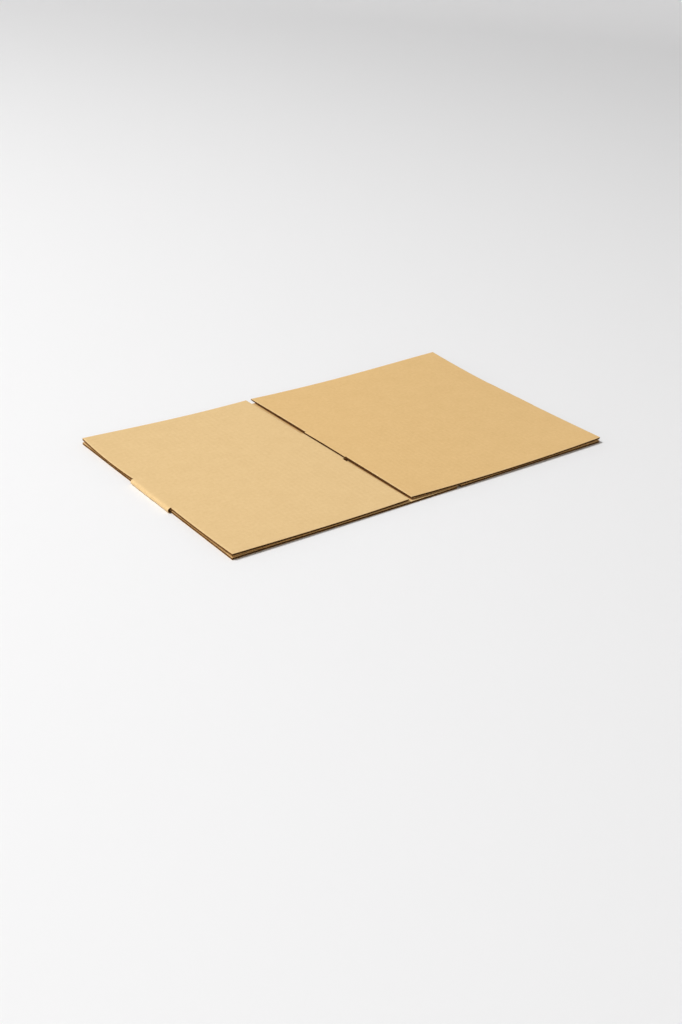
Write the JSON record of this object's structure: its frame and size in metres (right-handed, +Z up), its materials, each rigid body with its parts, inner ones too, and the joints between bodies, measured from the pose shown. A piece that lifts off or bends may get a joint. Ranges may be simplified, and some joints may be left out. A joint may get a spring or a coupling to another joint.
{
  "type": "flattened cardboard box",
  "caption": "Plain regular slotted carton of single-wall corrugated board, glued and folded flat, with hinged upper flaps.",
  "frame": {"origin": "on the floor, under the middle of the flat carton's outline", "axes": "+X along the front edge, from the short upper panel to the long one; +Y from the front edge to the back edge; +Z up"},
  "size_m": [0.538, 0.307, 0.008],
  "materials": {
    "kraft_board": "matte brown kraft liner"
  },
  "bodies": {
    "carton": {"carton": "kraft_board"},
    "left_front_flap": {"left_front_flap": "kraft_board"},
    "left_back_flap": {"left_back_flap": "kraft_board"},
    "right_front_flap": {"right_front_flap": "kraft_board"},
    "right_back_flap": {"right_back_flap": "kraft_board"}
  },
  "joints": [
    {"name": "left_front_fold", "type": "hinge", "parent": "carton", "child": "left_front_flap", "pos_m": [-0.1521, -0.0387, 0.0064], "axis": [-1, 0, 0], "range_deg": [0, 105]},
    {"name": "left_back_fold", "type": "hinge", "parent": "carton", "child": "left_back_flap", "pos_m": [-0.1521, 0.0387, 0.0064], "axis": [1, 0, 0], "range_deg": [0, 105]},
    {"name": "right_front_fold", "type": "hinge", "parent": "carton", "child": "right_front_flap", "pos_m": [0.1146, -0.0387, 0.008], "axis": [-1, 0, 0], "range_deg": [0, 105]},
    {"name": "right_back_fold", "type": "hinge", "parent": "carton", "child": "right_back_flap", "pos_m": [0.1146, 0.0387, 0.008], "axis": [1, 0, 0], "range_deg": [0, 105]}
  ]
}
